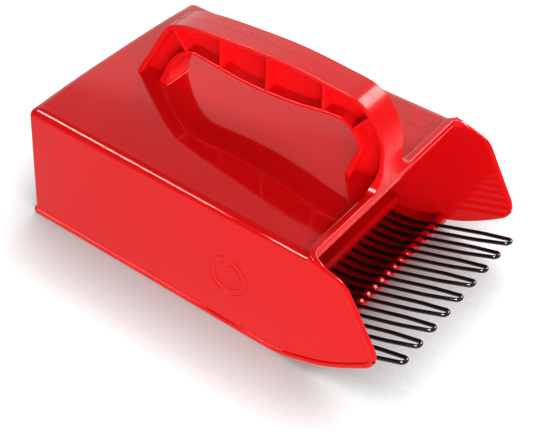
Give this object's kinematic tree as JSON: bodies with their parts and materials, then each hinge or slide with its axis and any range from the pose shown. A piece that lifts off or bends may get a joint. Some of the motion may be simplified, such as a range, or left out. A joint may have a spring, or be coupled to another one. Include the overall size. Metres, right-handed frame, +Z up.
{
  "type": "berry picking rake",
  "caption": "Handheld scoop for picking wild berries: red moulded box with a carrying handle on top and a comb of black wire loops at its open mouth.",
  "frame": {"origin": "middle of the bounding box, on the flat underside that it rests on", "axes": "+X towards the comb, +Y to the left of someone who looks along +X, +Z up"},
  "size_m": [0.2415, 0.1416, 0.1302],
  "materials": {
    "shell_red": "glossy moulded red plastic",
    "floor_red": "glossy moulded red plastic",
    "clamp_red": "glossy moulded red plastic",
    "wire_black": "wire with a glossy black dipped coat",
    "screw_steel": "plain zinc-plated screws"
  },
  "bodies": {
    "root": {"scoop_shell": "shell_red", "floor_plate": "floor_red", "comb_clamp_bar": "clamp_red", "tine_loop_1": "wire_black", "tine_loop_2": "wire_black", "tine_loop_3": "wire_black", "tine_loop_4": "wire_black", "tine_loop_5": "wire_black", "tine_loop_6": "wire_black", "tine_loop_7": "wire_black", "tine_loop_8": "wire_black", "tine_loop_9": "wire_black", "floor_screw_1": "screw_steel", "floor_screw_2": "screw_steel", "floor_screw_3": "screw_steel", "floor_screw_4": "screw_steel", "floor_screw_5": "screw_steel", "floor_screw_6": "screw_steel", "clamp_screw_1": "screw_steel", "clamp_screw_2": "screw_steel", "clamp_screw_3": "screw_steel", "clamp_screw_4": "screw_steel", "clamp_screw_5": "screw_steel"}
  },
  "joints": []
}
